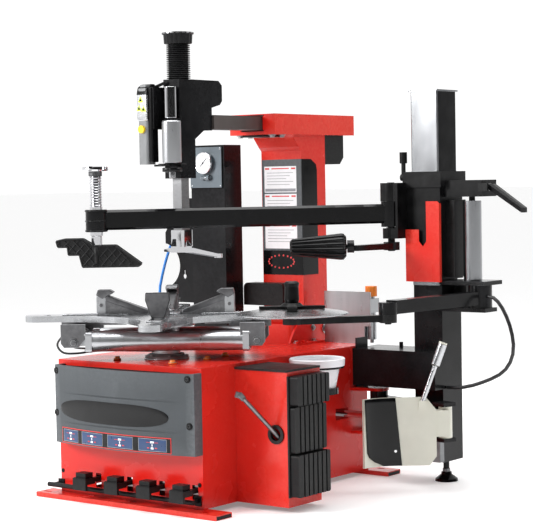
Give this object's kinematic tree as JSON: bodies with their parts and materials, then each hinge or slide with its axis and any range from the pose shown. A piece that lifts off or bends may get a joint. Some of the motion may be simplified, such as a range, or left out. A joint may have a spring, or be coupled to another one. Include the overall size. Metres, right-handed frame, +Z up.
{
  "type": "tire changer machine",
  "caption": "Tilt-back tyre changer with clamping turntable, mounting arm, help arm tower with press arm and bead disc, and a side bead breaker.",
  "frame": {"origin": "centre of the four floor anchor slots, on the floor", "axes": "+Z up, +X to the operator's right, -Y towards the operator at the pedals"},
  "size_m": [1.725, 1.544, 1.771],
  "materials": {
    "red_paint": "gloss",
    "black_steel": "semi-gloss",
    "black_alloy": "painted black, semi-gloss",
    "grey_cover": "satin",
    "black_plastic": "satin",
    "grey_plastic": "satin",
    "black_rubber": "matte",
    "dark_steel": "satin",
    "satin_steel": "satin",
    "machined_steel": "machined",
    "cast_grey": "painted grey",
    "chrome": "polished",
    "silver_alloy": "satin anodised",
    "white_plastic": "gloss",
    "orange_plastic": "gloss",
    "yellow_plastic": "gloss",
    "blue_hose": "satin",
    "black_hose": "satin"
  },
  "bodies": {
    "base": {"cabinet": "red_paint", "front_cover": "grey_cover", "pedal_bracket": "black_steel", "side_box_rubbers": "black_rubber", "bucket_holder": "black_steel", "drive_unit": "cast_grey", "drive_belt": "black_rubber", "column_base": "red_paint", "gauge_post": "black_steel", "air_hose": "blue_hose", "air_filter": "silver_alloy", "help_post": "black_steel", "help_column": "silver_alloy", "tower_hose": "black_hose"},
    "pedal_1": {"pedal_1": "black_plastic"},
    "pedal_2": {"pedal_2": "black_plastic"},
    "pedal_3": {"pedal_3": "black_plastic"},
    "pedal_4": {"pedal_4": "black_plastic"},
    "lever": {"tyre_lever": "dark_steel"},
    "bucket": {"lube_bucket": "white_plastic"},
    "worm": {"worm_shaft": "machined_steel"},
    "motor": {"motor_pulley": "cast_grey"},
    "table": {"turntable": "satin_steel", "turntable_hub": "machined_steel"},
    "left_jaw": {"jaw_left": "dark_steel", "clamp_tubes": "silver_alloy"},
    "right_jaw": {"jaw_right": "dark_steel", "clamp_rods": "chrome"},
    "front_jaw": {"jaw_front": "dark_steel"},
    "back_jaw": {"jaw_back": "dark_steel"},
    "column": {"column": "red_paint", "head_box": "red_paint", "valve_box": "black_plastic"},
    "arm": {"slide_arm": "dark_steel", "head_casting": "black_alloy", "lock_cylinder": "silver_alloy", "control_handle": "grey_plastic"},
    "button": {"lock_button": "yellow_plastic"},
    "shaft": {"tool_shaft": "machined_steel", "shaft_spring": "black_steel", "mount_head": "satin_steel"},
    "tilt_cylinder": {"tilt_cylinder": "silver_alloy"},
    "tilt_rod": {"tilt_rod": "chrome"},
    "regulator": {"regulator_knob": "orange_plastic"},
    "carriage": {"carriage": "black_alloy", "carriage_cover": "red_paint"},
    "lift_lever": {"lift_lever": "black_plastic"},
    "lock_lever": {"lock_lever": "black_plastic"},
    "press_arm": {"press_arm": "black_alloy"},
    "press_spindle": {"press_spindle": "chrome"},
    "press_block": {"press_block": "black_plastic"},
    "roller_arm": {"roller_arm": "black_steel"},
    "cone": {"cone_roller": "black_plastic"},
    "disc_arm": {"disc_arm": "black_alloy"},
    "disc_link": {"disc_link": "black_alloy"},
    "disc": {"wheel_disc": "satin_steel"},
    "breaker": {"breaker_arm": "black_steel"},
    "shovel": {"breaker_shovel": "dark_steel"},
    "ram": {"breaker_cylinder": "silver_alloy"},
    "ram_rod": {"breaker_rod": "chrome"}
  },
  "joints": [
    {"name": "pedal_1_press", "type": "hinge", "parent": "base", "child": "pedal_1", "pos_m": [-0.16, -0.47, 0.078], "axis": [1, 0, 0], "range_deg": [0, 8], "stiffness_Nm_per_rad": 30, "springref_deg": -5.73},
    {"name": "pedal_2_press", "type": "hinge", "parent": "base", "child": "pedal_2", "pos_m": [0, -0.47, 0.078], "axis": [1, 0, 0], "range_deg": [0, 8], "stiffness_Nm_per_rad": 30, "springref_deg": -5.73},
    {"name": "pedal_3_press", "type": "hinge", "parent": "base", "child": "pedal_3", "pos_m": [0.16, -0.47, 0.078], "axis": [1, 0, 0], "range_deg": [0, 8], "stiffness_Nm_per_rad": 30, "springref_deg": -5.73},
    {"name": "pedal_4_press", "type": "hinge", "parent": "base", "child": "pedal_4", "pos_m": [0.32, -0.47, 0.078], "axis": [1, 0, 0], "range_deg": [0, 8], "stiffness_Nm_per_rad": 30, "springref_deg": -5.73},
    {"name": "lever_lift", "type": "slide", "parent": "base", "child": "lever", "axis": [-0.268, -0.6317, 0.7274], "range_m": [0, 0.12]},
    {"name": "bucket_lift", "type": "slide", "parent": "base", "child": "bucket", "axis": [0, 0, 1], "range_m": [0, 0.05]},
    {"name": "table_turn", "type": "hinge", "parent": "base", "child": "table", "pos_m": [0, -0.297, 0.6], "axis": [0, 0, 1], "continuous": true},
    {"name": "worm_turn", "type": "hinge", "parent": "base", "child": "worm", "pos_m": [0, -0.218, 0.45], "axis": [1, 0, 0], "continuous": true},
    {"name": "motor_turn", "type": "hinge", "parent": "base", "child": "motor", "pos_m": [0, -0.06, 0.24], "axis": [1, 0, 0], "continuous": true},
    {"name": "jaw_left_slide", "type": "slide", "parent": "table", "child": "left_jaw", "axis": [-0.8192, -0.5736, 0], "range_m": [0, 0.11]},
    {"name": "jaw_right_slide", "type": "slide", "parent": "table", "child": "right_jaw", "axis": [0.8192, 0.5736, 0], "range_m": [0, 0.11]},
    {"name": "jaw_front_slide", "type": "slide", "parent": "table", "child": "front_jaw", "axis": [0.5736, -0.8192, 0], "range_m": [0, 0.11]},
    {"name": "jaw_back_slide", "type": "slide", "parent": "table", "child": "back_jaw", "axis": [-0.5736, 0.8192, 0], "range_m": [0, 0.11]},
    {"name": "column_tilt", "type": "hinge", "parent": "base", "child": "column", "pos_m": [0, 0.56, 0.58], "axis": [-1, 0, 0], "range_deg": [0, 25]},
    {"name": "arm_slide", "type": "slide", "parent": "column", "child": "arm", "axis": [0, 1, 0], "range_m": [0, 0.22]},
    {"name": "lock_press", "type": "slide", "parent": "arm", "child": "button", "axis": [0, 1, 0], "range_m": [0, 0.006], "stiffness_N_per_m": 300, "springref_m": -0.005},
    {"name": "shaft_down", "type": "slide", "parent": "arm", "child": "shaft", "axis": [0, 0, -1], "range_m": [0, 0.07], "stiffness_N_per_m": 3500, "springref_m": -0.09, "deforming": ["shaft_spring"]},
    {"name": "tilt_cylinder_turn", "type": "hinge", "parent": "base", "child": "tilt_cylinder", "pos_m": [0, 0.64, 0.3], "axis": [-1, 0, 0], "range_deg": [0, 7.2]},
    {"name": "tilt_rod_slide", "type": "slide", "parent": "tilt_cylinder", "child": "tilt_rod", "axis": [0, 0.0512, 0.9987], "range_m": [-0.05, 0]},
    {"name": "regulator_turn", "type": "hinge", "parent": "base", "child": "regulator", "pos_m": [0.36, 0.555, 0.74], "axis": [0, 0, 1], "range_deg": [-150, 150]},
    {"name": "carriage_lift", "type": "slide", "parent": "base", "child": "carriage", "axis": [0, 0, 1], "range_m": [0, 0.1]},
    {"name": "lift_lever_turn", "type": "hinge", "parent": "carriage", "child": "lift_lever", "pos_m": [0.947, 0.5, 1.158], "axis": [0, 1, 0], "range_deg": [-15, 15]},
    {"name": "lock_lever_turn", "type": "hinge", "parent": "carriage", "child": "lock_lever", "pos_m": [0.566, 0.49, 1.2], "axis": [1, 0, 0], "range_deg": [-35, 35]},
    {"name": "press_arm_swing", "type": "hinge", "parent": "carriage", "child": "press_arm", "pos_m": [0.548, 0.43, 1.06], "axis": [0, 0, 1], "range_deg": [0, 60]},
    {"name": "press_spindle_down", "type": "slide", "parent": "press_arm", "child": "press_spindle", "axis": [0, 0, -1], "range_m": [0, 0.1]},
    {"name": "press_block_turn", "type": "hinge", "parent": "press_spindle", "child": "press_block", "pos_m": [-0.15182, -0.50888, 0.95], "axis": [0, 0, 1], "range_deg": [-40, 40]},
    {"name": "roller_arm_swing", "type": "hinge", "parent": "carriage", "child": "roller_arm", "pos_m": [0.548, 0.43, 0.93], "axis": [0, 0, 1], "range_deg": [-12, 12]},
    {"name": "cone_roller_turn", "type": "hinge", "parent": "roller_arm", "child": "cone", "pos_m": [0.431, 0.1, 0.94], "axis": [0.7859, 0.6184, 0], "continuous": true},
    {"name": "disc_arm_swing", "type": "hinge", "parent": "base", "child": "disc_arm", "pos_m": [0.895, 0.52, 0.74], "axis": [0, 0, 1], "range_deg": [0, 30]},
    {"name": "disc_link_swing", "type": "hinge", "parent": "disc_arm", "child": "disc_link", "pos_m": [0.848, -0.045, 0.7], "axis": [0, 0, 1], "range_deg": [0, 35]},
    {"name": "disc_turn", "type": "hinge", "parent": "disc_link", "child": "disc", "pos_m": [0.609, -0.304, 0.72], "axis": [0, 0, 1], "continuous": true},
    {"name": "breaker_swing", "type": "hinge", "parent": "base", "child": "breaker", "pos_m": [0.45, 0.47, 0.265], "axis": [0, 0, -1], "range_deg": [0, 25]},
    {"name": "shovel_turn", "type": "hinge", "parent": "breaker", "child": "shovel", "pos_m": [0.83333, 0.35573, 0.265], "axis": [0, 0, 1], "range_deg": [-5, 5], "stiffness_Nm_per_rad": 200},
    {"name": "ram_turn", "type": "hinge", "parent": "base", "child": "ram", "pos_m": [-0.06, 0.33, 0.265], "axis": [0, 0, -1], "range_deg": [0, 4.5]},
    {"name": "ram_rod_slide", "type": "slide", "parent": "ram", "child": "ram_rod", "axis": [0.9981, 0.0622, 0], "range_m": [-0.056, 0]}
  ],
  "couplings": [
    {"joint": "jaw_right_slide", "follows": "jaw_left_slide", "ratio": 1},
    {"joint": "jaw_front_slide", "follows": "jaw_left_slide", "ratio": 1},
    {"joint": "jaw_back_slide", "follows": "jaw_left_slide", "ratio": 1},
    {"joint": "worm_turn", "follows": "table_turn", "ratio": 20},
    {"joint": "motor_turn", "follows": "table_turn", "ratio": 48},
    {"joint": "tilt_cylinder_turn", "follows": "column_tilt", "ratio": 0.2736},
    {"joint": "tilt_rod_slide", "follows": "column_tilt", "m_per_rad": -0.10731},
    {"joint": "ram_turn", "follows": "breaker_swing", "ratio": 0.1668},
    {"joint": "ram_rod_slide", "follows": "breaker_swing", "m_per_rad": -0.12337}
  ]
}
